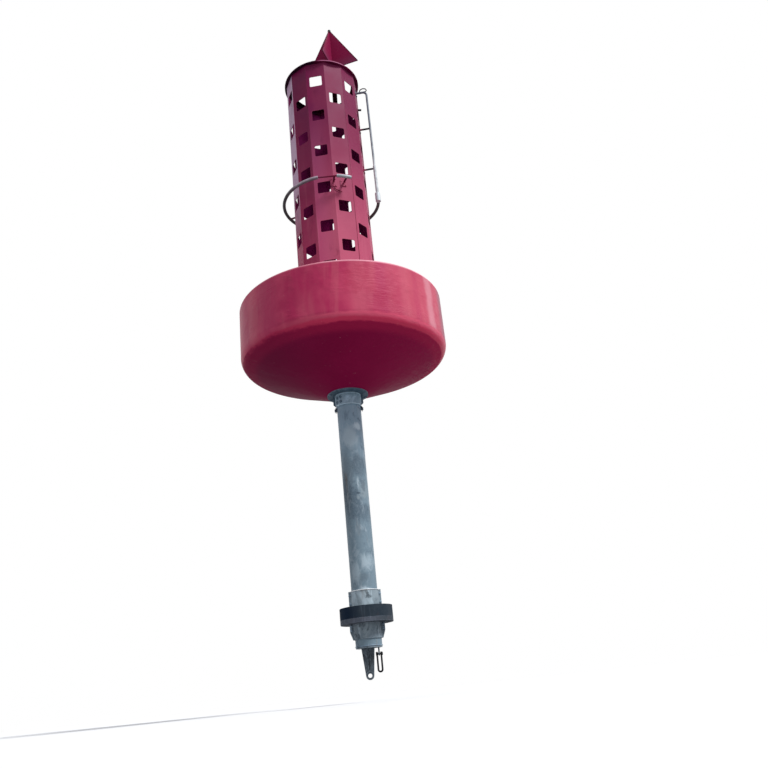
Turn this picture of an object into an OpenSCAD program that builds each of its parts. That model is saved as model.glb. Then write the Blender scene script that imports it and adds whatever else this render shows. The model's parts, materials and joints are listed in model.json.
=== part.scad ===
// Navigation buoy: foam float, perforated twelve-sided tower, cone topmark and ballasted tail tube.
// Millimetres, +Z up. The origin is on the buoy's axis at its waterline.
// An azimuth is counted from -Y towards +X, seen from above.

/* [Float] */
// Radius of the float
float_r = 1100; // [900:10:1400]
// Height of the float's side, with both rounded edges
float_side_h = 673; // [450:1:900]
// Depth of the side's lower edge under the waterline
float_draught = 190; // [100:5:300]
// Radius of the rounded upper edge
float_top_round = 22; // [15:1:90]
// Radius of the rounded lower edge
float_low_round = 125; // [60:1:180]
// Rise of the conical underside, in degrees
float_cone_angle = 22.4; // [10:0.1:30]

/* [Core tube and flange] */
// Wall of the core tube
core_wall = 8; // [6:1:20]
// Reach of the core tube under the bottom flange
core_reach = 136; // [100:2:220]
// Radius of the bottom flange
flange_r = 216; // [190:2:300]
// Thickness of the bottom flange
flange_t = 14; // [8:1:25]
// Number of ribs under the flange
gusset_count = 2; // [2:1:8]
// Thickness of a rib
gusset_t = 12; // [6:1:16]
// Height of a rib
gusset_h = 112; // [80:2:130]
// Width of a rib, out from the core tube
gusset_w = 24; // [20:1:50]
// Thickness of the strap round the front of the core tube's lower end
strap_t = 7; // [4:1:12]
// Azimuth at which the strap ends, to each side
strap_turn = 76; // [60:1:78]
// Distance of the strap from the flange and from the core tube's end
strap_clear = 9; // [5:1:16]
// Radius of the deck plate on the float
deck_r = 700; // [600:10:860]
// Thickness of the deck plate
deck_t = 16; // [8:1:25]

/* [Tail] */
// Outer diameter of the tail tube
tail_od = 250; // [210:2:280]
// Wall of the tail tube
tail_wall = 12; // [8:1:20]
// Length of the tail tube under the bottom flange
tail_drop = 2530; // [2000:5:3200]
// Length of the tail tube inside the core tube
tail_socket = 420; // [250:5:600]
// Diameter of the cross pin under the core tube
tail_pin_d = 32; // [20:1:45]
// Reach of the cross pin past the tail tube at each side
tail_pin_over = 26; // [10:1:60]
// Thickness of the end plate
end_plate_t = 16; // [10:1:30]

/* [Ballast] */
// Radius of the ballast discs
ballast_r = 252; // [200:2:400]
// Thickness of the upper ballast disc
ballast_top_t = 108; // [60:2:200]
// Thickness of the lower ballast disc
ballast_low_t = 40; // [30:2:120]
// Distance from the lowest disc's underside to the tail tube's end
ballast_clear = 205; // [170:5:400]
// Height of the clamp over the ballast
upper_clamp_h = 154; // [80:2:240]
// Height of the clamp under the ballast
lower_clamp_h = 140; // [80:2:160]
// Wall of a clamp
clamp_t = 11; // [6:1:20]
// Reach of the upper clamp's ears past its wall
upper_ear_w = 19; // [16:1:60]
// Reach of the lower clamp's ears past its wall, at their top
lower_ear_w = 30; // [20:1:60]
// Share of that reach that is left at their bottom
lower_ear_taper = 0.2; // [0.1:0.05:1]
// Thickness of an ear
ear_t = 12; // [6:1:20]
// Gap between the two halves of a clamp
ear_gap = 8; // [4:1:20]

/* [Mooring yoke and shackle] */
// Width of the yoke where it meets the end plate
yoke_w = 124; // [110:2:124]
// Offset of the yoke from the buoy's axis, towards -X
yoke_x = 12; // [10:1:40]
// Drop from the end plate to the eye's centre
yoke_drop = 242; // [160:2:320]
// Thickness of the yoke's legs
yoke_t = 30; // [16:1:50]
// Width of a leg
yoke_leg = 39; // [24:1:44]
// Thickness of the web between the legs
yoke_web = 8; // [4:1:12]
// Thickness of the eye
eye_t = 44; // [30:1:70]
// Outer radius of the eye
eye_r = 38; // [32:1:44]
// Radius of the eye's bore
eye_bore_r = 19; // [12:0.5:24]
// Distance from the buoy's axis to the shackle's lug
shackle_x = 88; // [86:1:92]
// Depth of the shackle pin under the end plate
shackle_pin_drop = 58; // [34:1:70]
// Diameter of the shackle pin
shackle_pin_d = 18; // [12:1:24]
// Diameter of the shackle's bar
shackle_bar_d = 17; // [12:1:20]
// Clear width of the shackle's jaw
shackle_jaw = 22; // [20:1:30]
// Length from the pin to the middle of the bow's bend
shackle_leg = 138; // [80:1:170]
// Thickness of the shackle's lug
lug_t = 14; // [8:1:16]

/* [Lifting lugs] */
// Distance from the axis to a lifting lug's hole
lift_r = 592; // [592:1:598]
// Height of the hole over the deck plate
lift_h = 190; // [120:5:260]
// Radius of the hole
lift_bore_r = 27; // [15:1:35]
// Radius of the lug's round head
lift_head_r = 62; // [50:1:80]
// Width of the lug's foot
lift_foot_w = 200; // [160:5:204]
// Thickness of a lug
lift_t = 25; // [15:1:40]
// Azimuth of the first lifting lug
lift_turn = 6; // [0:1:45]

/* [Tower] */
// Radius to the tower's outer corners
tower_r = 435; // [380:5:480]
// Height from the float's top to the top of the rim
tower_h = 3162; // [2600:2:3800]
// Thickness of the tower's sheet
sheet_t = 6; // [4:1:12]
// Azimuth of one corner
tower_turn = 6; // [0:1:30]
// Side of a window
window_w = 147; // [100:1:160]
// Corner radius of a window
window_round = 16; // [5:1:40]
// Distance between two windows in one facet
window_pitch = 508; // [400:2:600]
// Height of the lowest window's middle over the float's top
window_first = 343; // [300:1:420]
// Height of the foot ring's upright leg
foot_h = 70; // [40:2:120]
// Width of the foot ring's flange outside the tower
foot_w = 50; // [30:2:70]
// Thickness of the foot ring's flange
foot_t = 12; // [8:1:20]
// Radial width of the rim's plate
rim_w = 93; // [70:1:110]
// Thickness of the rim's plate
rim_t = 13; // [6:1:20]
// Reach of the rim's plate past the tower's corners
rim_over = 25; // [5:1:40]
// Height of the rim's leg inside the tower, with the plate
rim_leg_h = 60; // [30:1:90]
// Thickness of the rim's leg
rim_leg_t = 10; // [6:1:16]

/* [Topmark] */
// Half of the topmark's width
top_half_w = 342; // [240:1:360]
// Height of the topmark
top_h = 646; // [450:2:800]
// Height of the topmark's base over the rim
top_lift = 298; // [180:2:420]
// Distance from the buoy's axis to the topmark's axis
top_x = 159; // [100:1:200]
// Azimuth turn of the crossed plates
top_turn = -19.5; // [-45:0.5:45]
// Thickness of a topmark plate
top_t = 6; // [4:1:12]
// Width of the bridge across the rim
bridge_w = 60; // [40:1:80]
// Height of the bridge
bridge_h = 40; // [30:1:60]
// Wall of the bridge
bridge_wall = 6; // [4:1:8]
// Diameter of the topmark's post
post_d = 60; // [40:1:70]
// Radius of the plate on the post
post_cap_r = 75; // [60:1:100]
// Thickness of the plate on the post
post_cap_t = 8; // [5:1:15]

/* [Hoop and rail] */
// Radius from the axis to the middle of the hoop's tube
hoop_r = 552; // [520:1:570]
// Rise of the hoop over the middle between two windows
hoop_rise = 43; // [-60:1:80]
// Diameter of the hoop's tube
hoop_d = 37; // [25:1:42]
// Azimuth where the hoop's long part ends at the front
hoop_end = -13.2; // [-20:0.1:-12]
// Azimuth where the hoop's short part starts
stub_start = 8.8; // [8:0.1:10]
// Turn of the hoop's short part
stub_sweep = 17; // [15:0.5:22]
// Diameter of the bar that closes the hoop
bar_d = 19; // [8:1:24]
// Drop from the rim's top to the middle of the rail's top arm
rail_drop = 190; // [150:5:260]
// Diameter of the rail's tube
rail_d = 26; // [20:1:32]
// Diameter of the rail's thicker lower length
rail_low_d = 36; // [34:1:42]
// Bend radius at the rail's top
rail_bend = 50; // [45:1:70]
// Height of the rail's upper bracket over the hoop
rail_bracket_high = 1005; // [800:5:1150]
// Height of the rail's middle bracket over the hoop
rail_bracket_mid = 412; // [300:2:600]
// Reach of the thicker length past the middle bracket
rail_low_over = 34; // [24:1:60]
// Height of the fitting at the rail's foot
rail_foot_h = 110; // [60:2:110]
// Wall of the fitting at the rail's foot
rail_foot_wall = 12; // [5:1:14]
// Width of a bracket's foot
bracket_foot_w = 70; // [50:1:76]
// Height of the foot of a bracket on a corner
corner_foot_h = 110; // [70:2:130]
// Thickness of a bracket's foot
bracket_foot_t = 8; // [5:1:12]
// Diameter of a bracket's arm
bracket_d = 22; // [14:1:25]

/* [Hidden] */
$fn = 72;
// Clearance between curved faces that seat on each other
seat_gap = 0.3;
// Overlap that lets one solid of a node run into the next
joined = 1;
// Overshoot of a cutting tool past the face it cuts
cut = 5;

facet_count = 12;
facet_step = 360 / facet_count;
facets_per_panel = 3;
flat_r = tower_r * cos(facet_step / 2);

side_low_z = -float_draught;
deck_z = side_low_z + float_side_h;
tail_r = tail_od / 2;
core_r = tail_r + seat_gap + core_wall;

// The underside's cone leaves the lower edge's arc at this point
cone_start_r = float_r - float_low_round + float_low_round * sin(float_cone_angle);
cone_start_z = side_low_z + float_low_round * (1 - cos(float_cone_angle));
flange_top_z = cone_start_z - (cone_start_r - flange_r) * tan(float_cone_angle);
flange_low_z = flange_top_z - flange_t;
core_low_z = flange_low_z - core_reach;
tail_low_z = flange_top_z - tail_drop;
tail_pin_z = core_low_z - tail_pin_d / 2 - seat_gap;
end_low_z = tail_low_z - end_plate_t;

ballast_low_z = tail_low_z + ballast_clear;
ballast_mid_z = ballast_low_z + ballast_low_t;
ballast_top_z = ballast_mid_z + ballast_top_t;
clamp_r = tail_r + seat_gap + clamp_t;

eye_z = end_low_z - yoke_drop;
pin_z = end_low_z - shackle_pin_drop;
bow_r = (shackle_jaw + shackle_bar_d) / 2;

foot_z = deck_z + deck_t;
panel_low_z = foot_z + foot_t;
rim_z = deck_z + tower_h;
panel_top_z = rim_z - rim_t;
rim_out_r = tower_r + rim_over;
rim_in_r = rim_out_r - rim_w;

bridge_top_z = rim_z + bridge_h;
top_z = rim_z + top_lift;
rail_top_z = rim_z - rail_drop;
rail_foot_r = rail_low_d / 2 + seat_gap + rail_foot_wall;
rail_turn = facet_turn(2);
// The hoop lies between the second and the third window of the even facets
hoop_height = deck_z + window_first + 2 * window_pitch + hoop_rise;
// The straight bar that closes the hoop's gap
bar_turn = (stub_start + hoop_end) / 2;
bar_half_turn = (stub_start - hoop_end) / 2;
bar_r = hoop_r * cos(bar_half_turn);

// The azimuth of a corner of the tower
function corner_turn(corner) = tower_turn + corner * facet_step;

// The azimuth of a facet's middle
function facet_turn(facet) = corner_turn(facet + 0.5);

red = [0.74, 0.16, 0.24];
dark_red = [0.45, 0.06, 0.12];
zinc = [0.60, 0.62, 0.61];
old_zinc = [0.36, 0.37, 0.36];
dark_steel = [0.12, 0.12, 0.13];

// A ring about Z, from z to z + h
module ring(r_out, r_in, z, h, sides = 144) {
    translate([0, 0, z])
        difference() {
            cylinder(r = r_out, h = h, $fn = sides);
            translate([0, 0, -cut]) cylinder(r = r_in, h = h + 2 * cut, $fn = sides);
        }
}

// A square with rounded corners, in the XY plane
module rounded_square(side, round_r) {
    flat = side - 2 * round_r;
    square([side, flat], center = true);
    square([flat, side], center = true);
    for (x = [-1, 1], y = [-1, 1])
        translate([x * flat / 2, y * flat / 2]) circle(r = round_r, $fn = 24);
}

// A tongue from a straight foot of width w to a round head, its foot's middle at the origin
module tongue(w, h, head_r) {
    reach = sqrt(w * w / 4 + h * h);
    turn = asin(head_r / reach) + atan2(h, w / 2);
    side = sqrt(reach * reach - head_r * head_r);
    touch_x = w / 2 - side * cos(turn);
    touch_y = side * sin(turn);
    polygon([[-w / 2, 0], [w / 2, 0], [touch_x, touch_y], [0, h], [-touch_x, touch_y]]);
    translate([0, h]) circle(r = head_r);
}

// The profile of the float, in the half plane x > 0
module float_profile() {
    polygon([
        [core_r, flange_top_z], [flange_r, flange_top_z],
        [cone_start_r, cone_start_z],
        [float_r - float_low_round, side_low_z + float_low_round],
        [core_r, side_low_z + float_low_round]
    ]);
    translate([float_r - float_low_round, side_low_z + float_low_round])
        circle(r = float_low_round, $fn = 96);
    translate([core_r, side_low_z + float_low_round])
        square([float_r - core_r, float_side_h - float_low_round - float_top_round]);
    translate([core_r, side_low_z + float_low_round])
        square([float_r - core_r - float_top_round, float_side_h - float_low_round]);
    translate([float_r - float_top_round, deck_z - float_top_round])
        circle(r = float_top_round, $fn = 48);
}

module float() {
    color(red)
        difference() {
            rotate_extrude($fn = 180) float_profile();
            translate([0, 0, flange_top_z - cut])
                cylinder(r = core_r + seat_gap, h = deck_z - flange_top_z + 2 * cut, $fn = 144);
        }
}

module deck_plate() {
    color(zinc) ring(deck_r, core_r + seat_gap, deck_z, deck_t);
}

module core_tube() {
    color(zinc) ring(core_r, core_r - core_wall, core_low_z, deck_z + deck_t - core_low_z);
}

module bottom_flange() {
    color(zinc) ring(flange_r, core_r + seat_gap, flange_low_z, flange_t);
}

// Ribs down the sides of the core tube, with a sloped lower end
module flange_gussets() {
    color(zinc)
        for (i = [0 : gusset_count - 1])
            rotate([0, 0, i * 360 / gusset_count])
                translate([core_r + seat_gap, gusset_t / 2, flange_low_z])
                    rotate([90, 0, 0])
                        linear_extrude(gusset_t)
                            polygon([[0, 0], [gusset_w, 0], [gusset_w, gusset_w - gusset_h], [0, -gusset_h]]);
}

// A bolted strap with rounded corners, bent round the front of the core tube
module collar_strap() {
    h = core_reach - 2 * strap_clear;
    outer_r = core_r + seat_gap + strap_t;
    half_w = core_r * sin(strap_turn);
    corner_r = min(h, half_w) / 5;
    color(zinc)
        intersection() {
            ring(outer_r, core_r + seat_gap, flange_low_z - strap_clear - h, h);
            translate([0, 0, flange_low_z - strap_clear - h / 2]) rotate([90, 0, 0])
                linear_extrude(2 * outer_r) {
                    square([2 * half_w, h - 2 * corner_r], center = true);
                    square([2 * (half_w - corner_r), h], center = true);
                    for (x = [-1, 1], z = [-1, 1])
                        translate([x * (half_w - corner_r), z * (h / 2 - corner_r)]) circle(r = corner_r, $fn = 32);
                }
        }
}

module tail_tube() {
    color(zinc)
        difference() {
            ring(tail_r, tail_r - tail_wall, tail_low_z, tail_drop + tail_socket);
            translate([-tail_od, 0, tail_pin_z]) rotate([0, 90, 0])
                cylinder(r = tail_pin_d / 2 + seat_gap, h = 2 * tail_od);
        }
}

module tail_pin() {
    reach = tail_r + tail_pin_over;
    color(old_zinc)
        translate([-reach, 0, tail_pin_z]) rotate([0, 90, 0]) cylinder(d = tail_pin_d, h = 2 * reach);
}

// One half of a split clamp with an ear at each end, on the -Y side. low_share tapers the ears downwards
module clamp_half(z, h, ear_w, low_share) {
    inner_r = tail_r + seat_gap;
    ear_x = clamp_r + ear_w;
    low_x = clamp_r + ear_w * low_share;
    difference() {
        union() {
            translate([0, 0, z]) cylinder(r = clamp_r, h = h, $fn = 144);
            translate([0, -ear_gap / 2, z]) rotate([90, 0, 0])
                linear_extrude(ear_t)
                    polygon([[-low_x, 0], [low_x, 0], [ear_x, h / 2], [ear_x, h], [-ear_x, h], [-ear_x, h / 2]]);
        }
        translate([0, 0, z - cut]) cylinder(r = inner_r, h = h + 2 * cut, $fn = 144);
        translate([-2 * ear_x, -ear_gap / 2, z - cut]) cube([4 * ear_x, 4 * ear_x, h + 2 * cut]);
    }
}

module upper_clamp_front() {
    color(zinc) clamp_half(ballast_top_z, upper_clamp_h, upper_ear_w, 1);
}

module upper_clamp_back() {
    color(zinc) rotate([0, 0, 180]) clamp_half(ballast_top_z, upper_clamp_h, upper_ear_w, 1);
}

module lower_clamp_front() {
    color(zinc) clamp_half(ballast_low_z - lower_clamp_h, lower_clamp_h, lower_ear_w, lower_ear_taper);
}

module lower_clamp_back() {
    color(zinc)
        rotate([0, 0, 180]) clamp_half(ballast_low_z - lower_clamp_h, lower_clamp_h, lower_ear_w, lower_ear_taper);
}

module ballast_upper() {
    color(old_zinc) ring(ballast_r, tail_r + seat_gap, ballast_mid_z, ballast_top_t);
}

module ballast_lower() {
    color(zinc) ring(ballast_r, tail_r + seat_gap, ballast_low_z, ballast_low_t);
}

module end_plate() {
    color(zinc) translate([0, 0, end_low_z]) cylinder(r = tail_r, h = end_plate_t, $fn = 144);
}

// Two legs with a thin web between them, which run together at the eye under the end plate
module mooring_yoke() {
    inner_w = yoke_w - 2 * yoke_leg;
    color(zinc)
        translate([-yoke_x, 0, 0]) difference() {
            union() {
                translate([0, yoke_t / 2, end_low_z]) rotate([90, 0, 0])
                    linear_extrude(yoke_t)
                        difference() {
                            mirror([0, 1]) tongue(yoke_w, yoke_drop, eye_r);
                            polygon([[-inner_w / 2, cut], [inner_w / 2, cut],
                                [yoke_leg / 6, eye_r - yoke_drop + cut], [-yoke_leg / 6, eye_r - yoke_drop + cut]]);
                        }
                translate([0, yoke_web / 2, end_low_z]) rotate([90, 0, 0])
                    linear_extrude(yoke_web)
                        polygon([[-inner_w / 2 - joined, 0], [inner_w / 2 + joined, 0],
                            [yoke_leg / 6 + joined, eye_r - yoke_drop], [-yoke_leg / 6 - joined, eye_r - yoke_drop]]);
                translate([0, eye_t / 2, eye_z]) rotate([90, 0, 0]) cylinder(r = eye_r, h = eye_t);
            }
            translate([0, eye_t, eye_z]) rotate([90, 0, 0]) cylinder(r = eye_bore_r, h = 2 * eye_t);
        }
}

// A small lug under the end plate that carries the shackle's pin
module shackle_lug() {
    head_r = shackle_pin_d / 2 + lug_t / 2 + seat_gap;
    color(old_zinc)
        translate([shackle_x - lug_t / 2, 0, end_low_z])
            rotate([90, 0, 90])
                difference() {
                    linear_extrude(lug_t) mirror([0, 1]) tongue(4 * head_r, shackle_pin_drop, head_r);
                    translate([0, -shackle_pin_drop, -cut])
                        cylinder(r = shackle_pin_d / 2 + seat_gap, h = lug_t + 2 * cut);
                }
}

// The shackle's bow: two eyes, two straight legs and a round bend, hanging in the XZ plane
module shackle_bow() {
    ear_r = shackle_pin_d / 2 + shackle_bar_d / 2;
    color(dark_steel)
        translate([shackle_x, 0, pin_z])
            difference() {
                union() {
                    translate([0, 0, -shackle_leg]) rotate([90, 0, 0]) rotate([0, 0, 180])
                        rotate_extrude(angle = 180) translate([bow_r, 0]) circle(d = shackle_bar_d, $fn = 32);
                    for (s = [-1, 1])
                        translate([s * bow_r, 0, 0]) {
                            translate([0, 0, -shackle_leg]) cylinder(d = shackle_bar_d, h = shackle_leg, $fn = 32);
                            translate([-shackle_bar_d / 2, 0, 0]) rotate([0, 90, 0])
                                cylinder(r = ear_r, h = shackle_bar_d);
                        }
                }
                translate([-2 * shackle_jaw, 0, 0]) rotate([0, 90, 0])
                    cylinder(r = shackle_pin_d / 2 + seat_gap, h = 4 * shackle_jaw);
            }
}

module shackle_pin() {
    reach = bow_r + shackle_bar_d / 2;
    head_t = shackle_pin_d / 3;
    color(dark_steel)
        translate([shackle_x, 0, pin_z]) rotate([0, 90, 0]) {
            translate([0, 0, -reach - head_t / 2]) cylinder(d = shackle_pin_d, h = 2 * reach + head_t);
            translate([0, 0, reach + seat_gap]) cylinder(d = 1.6 * shackle_pin_d, h = head_t);
        }
}

// A plate that stands on the deck plate in a radial plane, with one hole across it
module lifting_lug(azimuth) {
    color(zinc)
        rotate([0, 0, azimuth])
            translate([-lift_t / 2, -lift_r, foot_z])
                rotate([90, 0, 90])
                    difference() {
                        linear_extrude(lift_t) tongue(lift_foot_w, lift_h, lift_head_r);
                        translate([0, lift_h, -cut]) cylinder(r = lift_bore_r, h = lift_t + 2 * cut);
                    }
}

module lifting_lug_front() { lifting_lug(lift_turn); }
module lifting_lug_right() { lifting_lug(lift_turn + 90); }
module lifting_lug_back() { lifting_lug(lift_turn + 180); }
module lifting_lug_left() { lifting_lug(lift_turn + 270); }

// Corners of the tower at radius r, from corner first to corner last
function corners(r, first, last) = [
    for (i = [first : (last >= first ? 1 : -1) : last])
        let (a = corner_turn(i)) [r * sin(a), -r * cos(a)]
];

// The radius to the corners of a face that lies d inside the outer faces
function inset(d) = (flat_r - d) / cos(facet_step / 2);

module tower_foot() {
    leg_r = inset(sheet_t + seat_gap);
    color(red) {
        translate([0, 0, foot_z])
            linear_extrude(foot_t)
                difference() {
                    polygon(corners(inset(-foot_w), 0, facet_count - 1));
                    polygon(corners(leg_r - foot_t, 0, facet_count - 1));
                }
        translate([0, 0, foot_z + foot_t - joined])
            linear_extrude(foot_h - foot_t + joined)
                difference() {
                    polygon(corners(leg_r, 0, facet_count - 1));
                    polygon(corners(leg_r - foot_t, 0, facet_count - 1));
                }
    }
}

// Windows of one facet: every other facet's windows sit half a pitch higher
module window_cuts(facet) {
    raised = facet % 2 == 0 ? window_pitch / 2 : 0;
    first_z = deck_z + window_first + raised;
    count = floor((panel_top_z - window_w - first_z) / window_pitch) + 1;
    rotate([0, 0, facet_turn(facet)])
        for (i = [0 : count - 1])
            translate([0, -flat_r + 2 * sheet_t, first_z + i * window_pitch])
                rotate([90, 0, 0])
                    linear_extrude(4 * sheet_t) rounded_square(window_w, window_round);
}

// One bent sheet of three facets
module tower_panel(first) {
    last = first + facets_per_panel;
    color(red)
        difference() {
            translate([0, 0, panel_low_z])
                linear_extrude(panel_top_z - panel_low_z)
                    polygon(concat(corners(tower_r, first, last), corners(inset(sheet_t), last, first)));
            for (facet = [first : last - 1]) window_cuts(facet);
        }
}

module tower_panel_front() { tower_panel(-2); }
module tower_panel_right() { tower_panel(1); }
module tower_panel_back() { tower_panel(4); }
module tower_panel_left() { tower_panel(7); }

// A flat ring on the panels, with a leg inside them
module tower_rim() {
    leg_r = inset(sheet_t + seat_gap);
    color(dark_red) {
        ring(rim_out_r, rim_in_r, panel_top_z, rim_t);
        translate([0, 0, rim_z - rim_leg_h])
            linear_extrude(rim_leg_h - rim_t + joined)
                difference() {
                    polygon(corners(leg_r, 0, facet_count - 1));
                    polygon(corners(leg_r - rim_leg_t, 0, facet_count - 1));
                }
    }
}

// A channel laid across the rim, open below
module topmark_bridge() {
    half = sqrt(pow(rim_out_r - rim_over, 2) - pow(top_x + bridge_w / 2, 2));
    color(dark_red)
        translate([top_x - bridge_w / 2, half, rim_z]) rotate([90, 0, 0])
            linear_extrude(2 * half)
                difference() {
                    square([bridge_w, bridge_h]);
                    translate([bridge_wall, -cut]) square([bridge_w - 2 * bridge_wall, bridge_h - bridge_wall + cut]);
                }
}

module topmark_post() {
    color(dark_red)
        translate([top_x, 0, 0]) {
            translate([0, 0, bridge_top_z]) cylinder(d = post_d, h = top_z - post_cap_t - bridge_top_z + joined);
            translate([0, 0, top_z - post_cap_t]) cylinder(r = post_cap_r, h = post_cap_t);
        }
}

// The wide triangle in one piece
module topmark_plate_wide() {
    color(red)
        translate([top_x, 0, top_z]) rotate([0, 0, top_turn])
            translate([0, top_t / 2, 0]) rotate([90, 0, 0])
                linear_extrude(top_t) polygon([[-top_half_w, 0], [top_half_w, 0], [0, top_h]]);
}

// Two half triangles that stand against the wide one, square to it
module topmark_plate_cross() {
    run = top_t / 2;
    color(red)
        translate([top_x, 0, top_z])
            for (side = [90, 270])
                rotate([0, 0, top_turn + side])
                    translate([0, top_t / 2, 0]) rotate([90, 0, 0])
                        linear_extrude(top_t)
                            polygon([[run, 0], [top_half_w, 0], [run, top_h * (1 - run / top_half_w)]]);
}

// A length of the hoop's tube, between two azimuths
module hoop_arc(start, end) {
    translate([0, 0, hoop_height]) rotate([0, 0, start - 90])
        rotate_extrude(angle = end - start, $fn = 144) translate([hoop_r, 0]) circle(d = hoop_d, $fn = 32);
}

module hoop_tube() {
    color(zinc) hoop_arc(rail_turn + asin((rail_foot_r + seat_gap) / hoop_r), 360 + hoop_end);
}

module hoop_stub() {
    color(zinc) hoop_arc(stub_start, stub_start + stub_sweep);
}

// A straight bar that closes the hoop's gap at the front
module hoop_bar() {
    half = hoop_r * sin(bar_half_turn) - bar_d / 2 * tan(bar_half_turn) - 2 * seat_gap;
    color(dark_red)
        rotate([0, 0, bar_turn]) translate([-half, -bar_r, hoop_height]) rotate([0, 90, 0])
            cylinder(d = bar_d, h = 2 * half, $fn = 24);
}

// A round arm along -Y, from radius start to radius end
module arm(start, end) {
    translate([0, -start, 0]) rotate([90, 0, 0]) cylinder(d = bracket_d, h = end - start);
}

// A bracket on a flat facet: a foot plate and an arm out to radius end
module facet_bracket(facet, z, end) {
    rotate([0, 0, facet_turn(facet)]) translate([0, 0, z]) {
        translate([-bracket_foot_w / 2, -flat_r - bracket_foot_t, -bracket_foot_w / 2])
            cube([bracket_foot_w, bracket_foot_t, bracket_foot_w]);
        arm(flat_r, end);
    }
}

// A bracket on a bent corner: a foot plate bent to the corner and an arm out to radius end
module corner_bracket(corner, z, end) {
    bend = facet_step / 2;
    leg = bracket_foot_w / 2;
    tip = [leg * cos(bend), leg * sin(bend) - tower_r];
    outer_tip = tip + bracket_foot_t * [sin(bend), -cos(bend)];
    outer_r = tower_r + bracket_foot_t / cos(bend);
    rotate([0, 0, corner_turn(corner)]) translate([0, 0, z]) {
        translate([0, 0, -corner_foot_h / 2])
            linear_extrude(corner_foot_h)
                polygon([[0, -tower_r], tip, outer_tip, [0, -outer_r], [-outer_tip.x, outer_tip.y], [-tip.x, tip.y]]);
        arm(outer_r - joined, end);
    }
}

// The hoop sits on two corners and one facet, and the bar on the corner at the front
module hoop_brackets() {
    tube_end = hoop_r - hoop_d / 2 - seat_gap;
    skew = corner_turn(0) - bar_turn;
    bar_end = (bar_r - bar_d / 2) / cos(skew) - bracket_d / 2 * tan(skew) - seat_gap;
    color(dark_red) {
        corner_bracket(0, hoop_height, bar_end);
        corner_bracket(4, hoop_height, tube_end);
        corner_bracket(8, hoop_height, tube_end);
        facet_bracket(0, hoop_height, tube_end);
    }
}

module rail_tube() {
    low_z = hoop_height - rail_foot_h / 2;
    mid_z = hoop_height + rail_bracket_mid + rail_low_over;
    end_x = flat_r + bracket_foot_t;
    color(zinc)
        rotate([0, 0, rail_turn - 90]) {
            translate([hoop_r, 0, low_z]) cylinder(d = rail_low_d, h = mid_z - low_z, $fn = 32);
            translate([hoop_r, 0, mid_z - joined])
                cylinder(d = rail_d, h = rail_top_z - rail_bend - mid_z + joined, $fn = 32);
            translate([hoop_r - rail_bend, 0, rail_top_z - rail_bend]) rotate([90, 0, 0])
                rotate_extrude(angle = 90) translate([rail_bend, 0]) circle(d = rail_d, $fn = 32);
            translate([end_x - joined, 0, rail_top_z]) rotate([0, 90, 0])
                cylinder(d = rail_d, h = hoop_r - rail_bend - end_x + joined, $fn = 32);
            translate([flat_r, -bracket_foot_w / 2, rail_top_z - bracket_foot_w / 2])
                cube([bracket_foot_t, bracket_foot_w, bracket_foot_w]);
        }
}

module rail_brackets() {
    color(dark_red) {
        facet_bracket(2, hoop_height + rail_bracket_mid, hoop_r - rail_low_d / 2 - seat_gap);
        facet_bracket(2, hoop_height + rail_bracket_high, hoop_r - rail_d / 2 - seat_gap);
    }
}

// A sleeve round the rail's foot, where the hoop's end meets it
module rail_foot() {
    color(zinc)
        rotate([0, 0, rail_turn]) translate([0, -hoop_r, 0])
            ring(rail_foot_r, rail_low_d / 2 + seat_gap, hoop_height - rail_foot_h / 2, rail_foot_h, 48);
}

float();
deck_plate();
core_tube();
bottom_flange();
flange_gussets();
collar_strap();
tail_tube();
tail_pin();
upper_clamp_front();
upper_clamp_back();
ballast_upper();
ballast_lower();
lower_clamp_front();
lower_clamp_back();
end_plate();
mooring_yoke();
shackle_lug();
shackle_bow();
shackle_pin();
lifting_lug_front();
lifting_lug_right();
lifting_lug_back();
lifting_lug_left();
tower_foot();
tower_panel_front();
tower_panel_right();
tower_panel_back();
tower_panel_left();
tower_rim();
topmark_bridge();
topmark_post();
topmark_plate_wide();
topmark_plate_cross();
hoop_tube();
hoop_stub();
hoop_bar();
hoop_brackets();
rail_tube();
rail_brackets();
rail_foot();
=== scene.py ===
"""Looks of the navigation buoy: camera, stage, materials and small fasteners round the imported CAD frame."""

import json
import math

import bmesh
import bpy
from mathutils import Matrix, Vector


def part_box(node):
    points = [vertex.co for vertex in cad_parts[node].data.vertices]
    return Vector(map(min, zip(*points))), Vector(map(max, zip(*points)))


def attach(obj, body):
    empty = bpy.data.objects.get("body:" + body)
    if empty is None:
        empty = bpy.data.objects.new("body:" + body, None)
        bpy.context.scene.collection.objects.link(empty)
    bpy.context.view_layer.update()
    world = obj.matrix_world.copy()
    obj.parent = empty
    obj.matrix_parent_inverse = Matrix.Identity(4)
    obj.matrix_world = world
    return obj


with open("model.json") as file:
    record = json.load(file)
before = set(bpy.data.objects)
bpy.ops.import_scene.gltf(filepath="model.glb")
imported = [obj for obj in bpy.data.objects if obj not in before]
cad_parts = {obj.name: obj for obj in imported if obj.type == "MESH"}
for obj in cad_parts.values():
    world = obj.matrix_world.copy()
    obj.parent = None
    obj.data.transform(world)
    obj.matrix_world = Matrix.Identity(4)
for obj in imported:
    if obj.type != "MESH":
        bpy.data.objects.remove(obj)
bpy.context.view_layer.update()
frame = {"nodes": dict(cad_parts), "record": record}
nodes = frame["nodes"]
BUOY = "buoy"
SHACKLE = "shackle"

# Camera: fitted to the photograph's outlines, in the part's frame
PICTURE = 768
FOCAL_PX = 770.0
SENSOR_MM = 36.0
SIGHT = 400.0
CAMERA_AT = Vector((0.0, -7.605, -3.458))
CAMERA_YAW = 0.0518
CAMERA_PITCH = 0.3794
CAMERA_ROLL = -0.1040


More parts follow.
